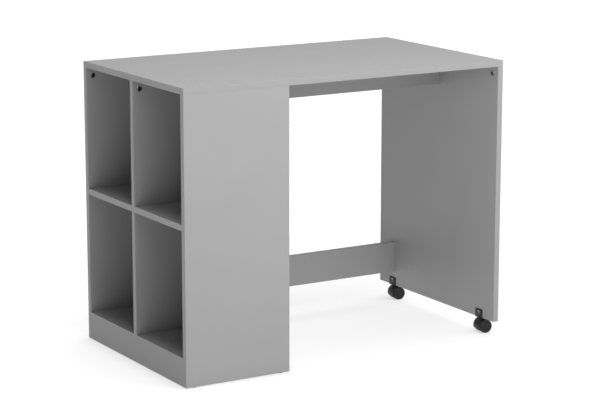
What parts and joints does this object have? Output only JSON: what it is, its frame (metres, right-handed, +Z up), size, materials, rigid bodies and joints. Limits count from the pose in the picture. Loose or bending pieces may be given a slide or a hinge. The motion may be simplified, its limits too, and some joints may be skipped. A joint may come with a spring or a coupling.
{
  "type": "pull-out desk",
  "caption": "Grey desk with an open cubby bookcase closed in front by a plain panel, a knee space with rails, and a side panel on twin-wheel castors.",
  "frame": {"origin": "on the floor in the middle of the whole object's footprint, castors included", "axes": "+X to the desk's right (bookcase at -X, castors at +X), +Y from the sitter's side to the back, +Z up"},
  "size_m": [0.9768, 0.56, 0.758],
  "materials": {
    "board": "chipboard faced in smooth matt grey melamine, edges banded in the same grey",
    "black_zinc": "black die-cast zinc, satin",
    "zinc_steel": "zinc-plated steel",
    "beech": "turned beech dowel",
    "glide_plastic": "black moulded plastic with a steel nail",
    "black_screw": "black oxide steel",
    "black_steel": "black powder-coated sheet steel, fine texture",
    "castor_nylon": "black moulded nylon, fine spark texture",
    "wheel_nylon": "black moulded nylon, satin face and worn tread"
  },
  "bodies": {
    "carcass": {"desktop": "board", "bookcase_front_panel": "board", "bookcase_back_panel": "board", "knee_side_panel": "board", "plinth": "board", "base_panel": "board", "divider": "board", "front_shelf": "board", "rear_shelf": "board", "upper_rail": "board", "lower_rail": "board", "right_side_panel": "board", "cam_locks": "black_zinc", "cam_bolts": "zinc_steel", "dowels": "beech", "confirmat_screws": "zinc_steel", "glides": "glide_plastic", "castor_countersunk_screws": "black_screw", "castor_pan_head_screws": "black_screw", "front_castor_bracket": "black_steel", "front_castor_kingpin": "zinc_steel", "front_castor_retaining_ring": "zinc_steel", "rear_castor_bracket": "black_steel", "rear_castor_kingpin": "zinc_steel", "rear_castor_retaining_ring": "zinc_steel"},
    "front_castor_swivel": {"front_castor_fork": "castor_nylon", "front_castor_thrust_washer": "castor_nylon", "front_castor_axle": "zinc_steel"},
    "front_castor_front_roll": {"front_castor_front_wheel": "wheel_nylon"},
    "front_castor_rear_roll": {"front_castor_rear_wheel": "wheel_nylon"},
    "rear_castor_swivel": {"rear_castor_fork": "castor_nylon", "rear_castor_thrust_washer": "castor_nylon", "rear_castor_axle": "zinc_steel"},
    "rear_castor_front_roll": {"rear_castor_front_wheel": "wheel_nylon"},
    "rear_castor_rear_roll": {"rear_castor_rear_wheel": "wheel_nylon"}
  },
  "joints": [
    {"name": "front_castor_turn", "type": "hinge", "parent": "carcass", "child": "front_castor_swivel", "pos_m": [0.46, -0.215, 0.03], "axis": [0, 0, 1], "continuous": true},
    {"name": "front_castor_front_wheel_spin", "type": "hinge", "parent": "front_castor_swivel", "child": "front_castor_front_roll", "pos_m": [0.46844, -0.21604, 0.0185], "axis": [0.1219, 0.9925, 0], "continuous": true},
    {"name": "front_castor_rear_wheel_spin", "type": "hinge", "parent": "front_castor_swivel", "child": "front_castor_rear_roll", "pos_m": [0.46844, -0.21604, 0.0185], "axis": [0.1219, 0.9925, 0], "continuous": true},
    {"name": "rear_castor_turn", "type": "hinge", "parent": "carcass", "child": "rear_castor_swivel", "pos_m": [0.46, 0.212, 0.03], "axis": [0, 0, 1], "continuous": true},
    {"name": "rear_castor_front_wheel_spin", "type": "hinge", "parent": "rear_castor_swivel", "child": "rear_castor_front_roll", "pos_m": [0.46844, 0.21096, 0.0185], "axis": [0.1219, 0.9925, 0], "continuous": true},
    {"name": "rear_castor_rear_wheel_spin", "type": "hinge", "parent": "rear_castor_swivel", "child": "rear_castor_rear_roll", "pos_m": [0.46844, 0.21096, 0.0185], "axis": [0.1219, 0.9925, 0], "continuous": true}
  ]
}
